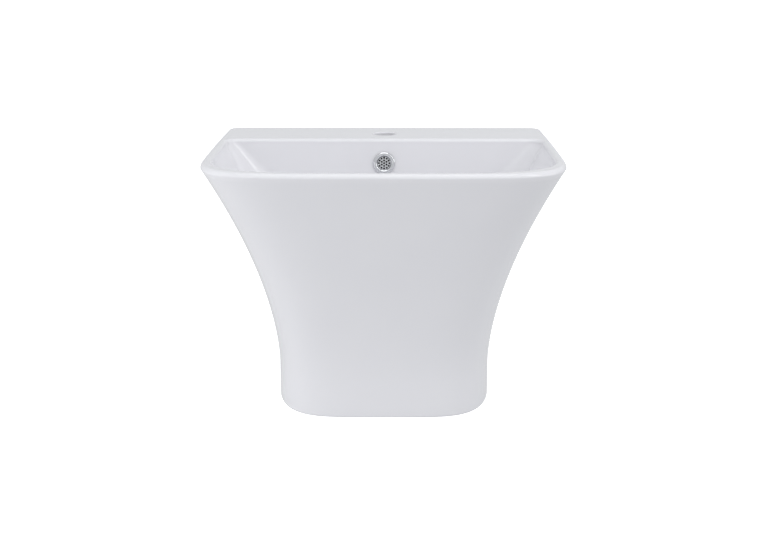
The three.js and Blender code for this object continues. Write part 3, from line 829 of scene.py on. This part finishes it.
STRAINER_FRONT = -3.2            # from the bowl's wall, into the hole
STRAINER_THICKNESS = 1.2
STRAINER_RADIUS = 10.4
STRAINER_HOLES = ((1, 0), (6, 4.2), (12, 8.1))  # how many stand in each ring, and its radius
STRAINER_HOLE_RADIUS = 1.45
STRAINER_HOLE_EDGE = 0.1         # chamfer at the front of each hole


def strainer_hole():
    """The tool that cuts one hole, with its front edge chamfered."""
    wide = STRAINER_HOLE_RADIUS + STRAINER_HOLE_EDGE
    return revolve([
        (0, STRAINER_FRONT - 3), (STRAINER_HOLE_RADIUS, STRAINER_FRONT - 3),
        (STRAINER_HOLE_RADIUS, STRAINER_FRONT - STRAINER_HOLE_EDGE), (wide, STRAINER_FRONT),
        (wide, STRAINER_FRONT + 1), (0, STRAINER_FRONT + 1),
    ], 24)


def overflow_strainer():
    """The disc recessed in the ring, with one hole in the middle and two rings of holes round it."""
    chrome = [FINISHES["chrome"]]
    back = STRAINER_FRONT - STRAINER_THICKNESS
    vertices, faces = revolve(rounded([
        (0, back, 0), (STRAINER_RADIUS, back, 0.2), (STRAINER_RADIUS, STRAINER_FRONT, 0.3),
        (0, STRAINER_FRONT, 0),
    ], steps=3), 128)
    disc = make_object("strainer", vertices, faces, chrome)
    for count, radius in STRAINER_HOLES:
        for k in range(count):
            angle = math.pi / 2 + 2 * math.pi * k / count
            vertices, faces = strainer_hole()
            middle = (radius * math.cos(angle), radius * math.sin(angle), 0)
            combine(disc, make_object("hole", vertices + middle, faces, chrome), "DIFFERENCE")
    for vertex in disc.data.vertices:
        point = at_overflow([vertex.co / MM])[0]
        vertex.co = Vector(point) * MM
    shade(disc.data, 30)
    return stand_for("overflow_strainer", disc)


add_piece("overflow_ring", overflow_ring(), at_overflow)
overflow_strainer()
add_piece("overflow_seal", revolve(rounded([
    (12.8, 0.3, 0.4), (15.8, 0.3, 0.4), (15.8, 1.6, 0.4), (12.8, 1.6, 0.4),
])), at_overflow)


# ---------------- click waste

TAIL_RADIUS = 20.9               # 1 1/4 inch waste thread
TAIL_BORE = 18.5
PLAY = 0.4                       # gap between a pipe or a thread and what goes over it
TAIL_END = -88
THREAD_PITCH = 2.3               # 11 turns to the inch
THREAD_STEP = 0.55               # spacing of points that shows that thread
FLANGE_Z = SEAT_Z + 2.1          # underside of the waste's flange, on its gasket
BRIDGE_LOW, BRIDGE_HIGH = -66, -60
CARTRIDGE_TOP = -16
STEM_END = -34
PLUG_Z = FLANGE_Z + 13.6         # underside of the raised plug's cap


def waste_body():
    """The flanged tail, with four overflow windows and a bridge of three spokes that holds the cartridge."""
    chrome = [FINISHES["chrome"]]
    profile = rounded([
        (TAIL_BORE, TAIL_END, 0.5), (TAIL_RADIUS, TAIL_END, 0.8), (TAIL_RADIUS, FLANGE_Z, 0),
        (33, FLANGE_Z, 0.3), (33, FLANGE_Z + 1.5, 0.9), (31, FLANGE_Z + 2.6, 1.2),
        (28, FLANGE_Z + 2.4, 2), (20, FLANGE_Z + 0.9, 1), (TAIL_BORE, FLANGE_Z - 0.5, 1),
    ])
    cut_thread = thread(THREAD_PITCH, 0.7, TAIL_END + 1, -50, above=TAIL_BORE + 1.5)
    vertices, faces = revolve(filled(profile, THREAD_STEP), 112, cut_thread)
    body = make_object("waste", at_drain(vertices), faces, chrome)
    window = box((TAIL_BORE - 4, -4.5, SEAT_Z - 19), (TAIL_RADIUS + 2, 4.5, SEAT_Z - 8))
    for quarter in range(4):
        vertices, faces = window
        tool = make_object("window", at_drain(turned_about_z(vertices, 90 * quarter)), faces, chrome)
        combine(body, tool, "DIFFERENCE")
    hub = make_rod(5.5, BRIDGE_LOW, BRIDGE_HIGH, at_drain, 48, chrome)
    for third in range(3):
        vertices, faces = box((3, -1.5, BRIDGE_LOW), (TAIL_BORE + 1, 1.5, BRIDGE_HIGH))
        spoke = make_object("spoke", at_drain(turned_about_z(vertices, 120 * third)), faces, chrome)
        combine(hub, spoke, "UNION")
    combine(body, hub, "UNION")
    combine(body, make_rod(3.3, BRIDGE_LOW - 1, BRIDGE_HIGH + 1, at_drain, 48, chrome), "DIFFERENCE")
    shade(body.data, 35)
    return stand_for("waste_body", body)


def hexagon_nut(bore, across_flats, low, high):
    """A flat-sided nut whose corners are chamfered by a cone above and below."""
    brass = [FINISHES["brass"]]
    corner = across_flats / 2 / math.cos(math.pi / 6)
    nut = make_object("nut", *revolve([(bore, low), (corner, low), (corner, high), (bore, high)], 6), brass)
    chamfer = 1.6
    flat = across_flats / 2
    bound = make_object("bound", *revolve([
        (0, low), (flat, low), (flat + 2 * chamfer, low + chamfer), (flat + 2 * chamfer, high - chamfer),
        (flat, high), (0, high),
    ], 96), brass)
    combine(nut, bound, "INTERSECT")
    return nut


def threaded_bore(bore, low, high):
    """The tool that cuts a nut's bore and its thread."""
    low, high = low - 1, high + 1
    corners = np.array([(0, low), (bore, low), (bore, high), (0, high)], float)
    cut_thread = thread(THREAD_PITCH, -0.5, low, high, above=bore - 0.1)
    return revolve(filled(corners, THREAD_STEP), 96, cut_thread)


def waste_backnut():
    bore = TAIL_RADIUS + PLAY
    low, high = span_of("waste_backnut", 2)
    nut = hexagon_nut(bore - 1, 52, low, high)
    tool = make_object("bore", *threaded_bore(bore, low, high), [FINISHES["brass"]])
    combine(nut, tool, "DIFFERENCE")
    nut.data.transform(Matrix.Translation((0, DRAIN_Y * MM, 0)))
    shade(nut.data, 28)
    return stand_for("waste_backnut", nut)


def washer(node, inner, outer, edge, place=at_drain, axis=2):
    """A flat ring with rounded edges, as thick as the CAD node along the axis it lies across."""
    low, high = span_of(node, axis)
    if axis == 1:
        low, high = low - DRAIN_Y, high - DRAIN_Y
    profile = rounded([(inner, low, edge), (outer, low, edge), (outer, high, edge), (inner, high, edge)], 4)
    return add_piece(node, revolve(profile, 96), place)


def lower_gasket():
    low, top = span_of("lower_gasket", 2)
    inner = TAIL_RADIUS + PLAY
    profile = rounded([(inner, low, 0.5), (27, low, 1), (31, top - 3, 1), (31, top, 0.6), (inner, top, 0.5)])
    return add_piece("lower_gasket", revolve(profile), at_drain)


def click_cartridge():
    profile = rounded([
        (0, BRIDGE_LOW - 4, 0), (3, BRIDGE_LOW - 4, 0.5), (3, BRIDGE_HIGH + 0.3, 0),
        (7, BRIDGE_HIGH + 0.3, 0.5), (7, CARTRIDGE_TOP - 6, 0.3), (6.5, CARTRIDGE_TOP - 5.5, 0.2),
        (6.5, CARTRIDGE_TOP - 4.5, 0.2), (7, CARTRIDGE_TOP - 4, 0.3), (7, CARTRIDGE_TOP, 0.7),
        (3.2, CARTRIDGE_TOP, 0.4), (3.2, CARTRIDGE_TOP - 1.5, 0), (5.8, CARTRIDGE_TOP - 1.5, 0),
        (5.8, BRIDGE_HIGH + 2, 0), (0, BRIDGE_HIGH + 2, 0),
    ], steps=3)
    return add_piece("click_cartridge", revolve(profile, 64), at_drain)


def click_spring():
    low, high = span_of("click_spring", 2)
    wire = 0.5
    spring = add_piece("click_spring", helix(4.2, wire, low + wire, high - wire, 6), at_drain, 60)
    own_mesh(spring)
    return spring


def plug_stem():
    top = PLUG_Z - 0.3
    profile = rounded([
        (0, STEM_END, 0), (5, STEM_END, 0.4), (5, STEM_END + 2, 0.4), (2.7, STEM_END + 2, 0.3),
        (2.7, top - 6, 0.6), (11, top - 4, 0.6), (11, top, 0.3), (0, top, 0),
    ], steps=3)
    return add_piece("plug_stem", revolve(profile, 64), at_drain)


def plug_seal():
    top = PLUG_Z - 0.3
    profile = rounded([
        (12, top - 2.4, 0.5), (17.5, top - 2.4, 0.8), (24.5, top - 1.2, 0.5), (24.5, top, 0.2),
        (12, top, 0.2),
    ], steps=5)
    return add_piece("plug_seal", revolve(profile, 96), at_drain)


def plug_cap():
    """The domed cap, with a turned lip round it."""
    profile = rounded([
        (0, PLUG_Z, 0), (25, PLUG_Z, 1), (31, PLUG_Z - 0.5, 0.5), (31.5, PLUG_Z + 0.9, 0.9),
        (29, PLUG_Z + 3.2, 4), (20, PLUG_Z + 4.6, 14), (0, PLUG_Z + 5.4, 0),
    ], steps=8)
    return add_piece("plug_cap", revolve(profile, 128), at_drain)


waste_body()
washer("flange_gasket", TAIL_RADIUS + PLAY, 32, 0.5)
lower_gasket()
washer("slip_washer", TAIL_RADIUS + PLAY, 30, 0.3)
waste_backnut()
click_cartridge()
click_spring()
plug_stem()
plug_seal()
plug_cap()


# ---------------- bottle trap

PIPE_RADIUS = 16
PIPE_BORE = 14.2
OUTLET_Z = -149
NECK_RADIUS = 23.5
HEAD_NECK_TOP, HEAD_TOP, HEAD_LOW = -115, -128, -187  # the head's neck, shoulder and open end
HEAD_RADIUS, HEAD_BORE = 28, 25
CUP_TOP, COLLAR_LOW, CUP_WALL_TOP, CUP_BOTTOM = -174, -190, -196.5, -245
CUP_INNER, CUP_OUTER = 32, 35
INLET_SHOULDER, TOP_SHOULDER = -93, -110  # where the two upper nuts press their washers
OUTLET_SHOULDER = 60             # from the trap's axis
NUT_RIB_HEIGHT = 2
TUBE_END = -224                  # the dip tube's lower end, near the cup's floor
TO_WALL = -DRAIN_Y


def along_outlet(points):
    """Turns Z to point at the wall at the outlet's height, with the trap's axis still at the origin."""
    return turned_about_x(points, -90) + (0, 0, OUTLET_Z)


def towards_wall(points):
    """Turns Z to point at the wall, along the trap's outlet."""
    return at_drain(along_outlet(points))


def grip_nut(node, radius, shoulder, bore, pipe, low, high, place=at_drain, shoulder_low=True):
    """A moulded nut with grip ribs and, at its threaded side, a smooth band.

    The threaded side is bored out to the shoulder, the other side to the pipe.
    """
    band = radius - 0.9
    if shoulder_low:
        corners = [
            (pipe, low, 0.4), (radius, low, 1.4), (radius, high - 3, 0.8), (band, high - 2.6, 0.5),
            (band, high, 0.8), (bore, high, 0.4), (bore, shoulder, 0), (pipe, shoulder, 0.3),
        ]
    else:
        corners = [
            (bore, low, 0.4), (band, low, 0.8), (band, low + 2.6, 0.5), (radius, low + 3, 0.8),
            (radius, high, 1.4), (pipe, high, 0.4), (pipe, shoulder, 0.3), (bore, shoulder, 0),
        ]
    ribs = grip_ribs(20, NUT_RIB_HEIGHT, above=radius - 0.5)
    profile = filled(rounded(corners, steps=4), 1.2)
    return add_piece(node, revolve(profile, 240, ribs), place, 40)


def trap_inlet_tube():
    flange, flange_top, flange_radius = INLET_SHOULDER + 0.3, INLET_SHOULDER + 0.3 + 1.6, 20.4
    profile = rounded([
        (PIPE_BORE, TUBE_END, 0.4), (PIPE_RADIUS, TUBE_END, 0.6), (PIPE_RADIUS, flange, 0.5),
        (flange_radius, flange, 0.3), (flange_radius, flange_top, 0.4), (PIPE_BORE, flange_top, 0.5),
    ], steps=4)
    return add_piece("trap_inlet_tube", revolve(profile, 96), at_drain)


def trap_head():
    plastic = [FINISHES["white_plastic"]]
    bore = PIPE_RADIUS + PLAY
    profile = rounded([
        (HEAD_BORE, HEAD_LOW, 0.4), (HEAD_RADIUS, HEAD_LOW, 0.8), (HEAD_RADIUS, HEAD_TOP - 4, 2),
        (HEAD_RADIUS - 4, HEAD_TOP, 2), (NECK_RADIUS, HEAD_TOP, 0.8), (NECK_RADIUS, HEAD_NECK_TOP, 0.6),
        (bore, HEAD_NECK_TOP, 0.4), (bore, HEAD_TOP - 3, 0.5), (HEAD_BORE, HEAD_TOP - 3, 2),
    ])

    def threads(turn, radius, z):
        neck = thread(3, 0.6, HEAD_TOP + 1, HEAD_NECK_TOP, above=NECK_RADIUS - 1)(turn, radius, z)
        skirt = thread(3.5, 0.6, HEAD_LOW, CUP_TOP + 3, above=HEAD_RADIUS - 1)(turn, radius, z)
        return neck + skirt

    head = make_object("head", *revolve(filled(profile, 0.8), 128, threads), plastic)
    outlet_end = OUTLET_SHOULDER - 5
    outlet_profile = filled(rounded([
        (0, HEAD_BORE - 6, 0), (20, HEAD_BORE - 6, 0), (20, outlet_end, 0.7), (0, outlet_end, 0),
    ]), 0.8)
    vertices, faces = revolve(outlet_profile, 112, thread(3, 0.5, HEAD_RADIUS + 4, outlet_end, above=19))
    outlet = make_object("outlet", along_outlet(vertices), faces, plastic)
    inside = make_rod(HEAD_BORE + 0.5, HEAD_LOW - 1, HEAD_TOP - 4, segments=128, materials=plastic)
    combine(outlet, inside, "DIFFERENCE")
    combine(head, outlet, "UNION")
    combine(head, make_rod(bore, 18, OUTLET_SHOULDER + 3, along_outlet, 96, plastic), "DIFFERENCE")
    head.data.transform(Matrix.Translation((0, DRAIN_Y * MM, 0)))
    shade(head.data, 35)
    return stand_for("trap_head", head)


def cup_seal():
    """A cone washer, wedged between the head's end and the cone under the cup's collar."""
    low, high = span_of("cup_seal", 2)
    profile = rounded([(HEAD_BORE, high - 3, 0.5), (33, low, 0.8), (36, low + 3.9, 0.5), (36, high, 0.5),
                       (HEAD_BORE, high, 0.4)])
    return add_piece("cup_seal", revolve(profile), at_drain)


def trap_cup():
    """The cup: a threaded collar with grip ribs over a tapered bottle with a rounded foot."""
    collar_inner, collar_outer, rib_radius = 33.6, 38.2, 39.5
    profile = rounded([
        (0, CUP_BOTTOM + 1, 0), (9, CUP_BOTTOM + 1, 1), (11, CUP_BOTTOM, 0.8), (20, CUP_BOTTOM, 3),
        (CUP_OUTER - 4, CUP_BOTTOM + 5, 8), (CUP_OUTER, CUP_BOTTOM + 14, 12),
        (CUP_OUTER, CUP_WALL_TOP - 1, 2), (collar_outer, COLLAR_LOW - 1, 1.5),
        (collar_outer, CUP_TOP, 1), (collar_inner, CUP_TOP, 0.5), (collar_inner, HEAD_LOW + 1, 0.8),
        (37, HEAD_LOW, 0.4), (37, COLLAR_LOW, 0.4), (CUP_INNER, CUP_WALL_TOP, 1),
        (CUP_INNER, CUP_BOTTOM + 15, 10), (CUP_INNER - 4, CUP_BOTTOM + 8, 6), (19, CUP_BOTTOM + 3, 4),
        (0, CUP_BOTTOM + 3, 0),
    ])
    ribs = grip_ribs(36, rib_radius - collar_outer, above=collar_outer - 0.4, sharpness=1.5)
    return add_piece("trap_cup", revolve(filled(profile, 1.5), 288, ribs), at_drain, 40)


def outlet_pipe():
    near = span_of("outlet_pipe", 1)[0] - DRAIN_Y
    profile = rounded([
        (PIPE_BORE, near, 0.4), (PIPE_RADIUS, near, 0.5), (PIPE_RADIUS, TO_WALL, 0.1),
        (PIPE_BORE, TO_WALL, 0.1),
    ], steps=3)
    return add_piece("outlet_pipe", revolve(filled(profile, 20), 96), towards_wall)


def wall_rosette():
    pipe = PIPE_RADIUS + 0.3
    profile = rounded([
        (pipe, TO_WALL - 12, 0.4), (20, TO_WALL - 12, 2), (34, TO_WALL - 4, 5), (34, TO_WALL - 0.3, 0.2),
        (31, TO_WALL - 0.3, 0.2), (31, TO_WALL - 3, 2), (19, TO_WALL - 9, 2), (pipe, TO_WALL - 9, 0.3),
    ], steps=6)
    return add_piece("wall_rosette", revolve(profile, 128), towards_wall)


def trap_top_washer():
    low, high = span_of("trap_top_washer", 2)
    inner = PIPE_RADIUS + 0.3
    profile = rounded([(inner, low, 0.4), (22, low, 0.6), (23, high, 0.6), (inner, high, 0.4)])
    return add_piece("trap_top_washer", revolve(profile), at_drain)


grip_nut("trap_inlet_nut", 26, INLET_SHOULDER, TAIL_RADIUS + PLAY, PIPE_RADIUS + PLAY, -96, -73)
washer("trap_inlet_washer", PIPE_BORE + 1, TAIL_RADIUS - 0.3, 0.4)
trap_inlet_tube()
grip_nut(
    "trap_top_nut", 27, TOP_SHOULDER, NECK_RADIUS + PLAY, PIPE_RADIUS + PLAY, -125, -107, shoulder_low=False,
)
trap_top_washer()
trap_head()
cup_seal()
trap_cup()
grip_nut(
    "outlet_nut", 23.5, OUTLET_SHOULDER, 20.4, PIPE_RADIUS + PLAY, 44, 63, towards_wall, shoulder_low=False,
)
washer("outlet_washer", PIPE_RADIUS + 0.3, 19.8, 0.4, towards_wall, axis=1)
outlet_pipe()
wall_rosette()


# ---------------- wall fixings

def fixing_bush(node, x):
    sleeve = FIXING_HOLE_RADIUS - 0.3
    profile = rounded([
        (5.5, 1, 0.3), (sleeve, 1, 0.6), (sleeve, PANEL + 0.3, 0.3), (15, PANEL + 0.3, 0.4),
        (15, PANEL + 2.8, 1), (5.5, PANEL + 2.8, 0.5),
    ], steps=4)
    return add_piece(node, revolve(profile, 64), at_fixing(x))


fixing_bush("fixing_bush_left", -FIXING_X)
fixing_bush("fixing_bush_right", FIXING_X)


# ---------------- floor, backdrop and light

STAGE_REACH = 40000              # half the width of the floor and of the backdrop
STAGE_COLOR = (0.9, 0.9, 0.9, 1)
FLOOR_GAP = 0.2                  # between the floor and the foot
FLOOR_GLOW = 0.75
BACKDROP_GLOW = 1
SKY_COLOR = (0.985, 1.0, 1.02, 1)
SKY_STRENGTH = 0.667
LIGHT_TARGET = (0, -0.2, 0)      # in metres, as the lights' distances and sizes are


def stage_material(name, glow):
    """A pale matt surface with a glow of its own, which keeps it near white where little light falls."""
    material, _, shader, _ = node_material(name)
    shader.inputs["Base Color"].default_value = STAGE_COLOR
    shader.inputs["Roughness"].default_value = 0.6
    shader.inputs["Emission Color"].default_value = (1, 1, 1, 1)
    shader.inputs["Emission Strength"].default_value = glow
    return material


def make_stage():
    """The floor and a large white box round it. Neither lights the basin nor shows in its gloss."""
    size = STAGE_REACH
    floor_z = FLOOR_Z - FLOOR_GAP
    corners = [(x, y, floor_z) for x, y in ((-size, -size), (size, -size), (size, size), (-size, size))]
    floor = make_object("floor", corners, [(0, 1, 2, 3)], [stage_material("floor", FLOOR_GLOW)])
    room = box((-size, -size, floor_z - 10), (size, size, size))
    backdrop = make_object("backdrop", *room, [stage_material("backdrop", BACKDROP_GLOW)])
    backdrop.visible_shadow = False
    for piece in (floor, backdrop):
        piece.visible_glossy = False
        piece.visible_diffuse = False


def add_light(name, azimuth, elevation, distance, size, power):
    """A soft box that looks at the target. Azimuth 0 is in front of the basin, and 90 on its right."""
    data = bpy.data.lights.new(name, "AREA")
    data.shape = "RECTANGLE"
    data.size, data.size_y = size
    data.energy = power
    light = bpy.data.objects.new(name, data)
    bpy.context.scene.collection.objects.link(light)
    a, e = math.radians(azimuth), math.radians(elevation)
    away = Vector((math.sin(a) * math.cos(e), -math.cos(a) * math.cos(e), math.sin(e)))
    light.location = Vector(LIGHT_TARGET) + away * distance
    light.rotation_euler = away.to_track_quat("Z", "Y").to_euler()
    light.visible_camera = False


def make_world():
    world = bpy.data.worlds.new("studio")
    world.use_nodes = True
    sky = world.node_tree.nodes["Background"]
    sky.inputs["Color"].default_value = SKY_COLOR
    sky.inputs["Strength"].default_value = SKY_STRENGTH
    bpy.context.scene.world = world


make_stage()
make_world()
add_light("overhead_front", azimuth=0, elevation=50, distance=2.6, size=(2.6, 1.7), power=7)
add_light("overhead", azimuth=0, elevation=80, distance=2.5, size=(1.8, 1.8), power=10)
add_light("low_left", azimuth=-64, elevation=-3, distance=1.3, size=(1.2, 0.25), power=4.2)
add_light("right_side", azimuth=84, elevation=10, distance=2.5, size=(1.6, 1.6), power=5)
add_light("strip", azimuth=57, elevation=40, distance=2.6, size=(0.5, 1.6), power=8.5)
add_light("front", azimuth=-25, elevation=6, distance=3, size=(1.5, 1.0), power=3.2)
bpy.context.scene.view_settings.view_transform = "Standard"
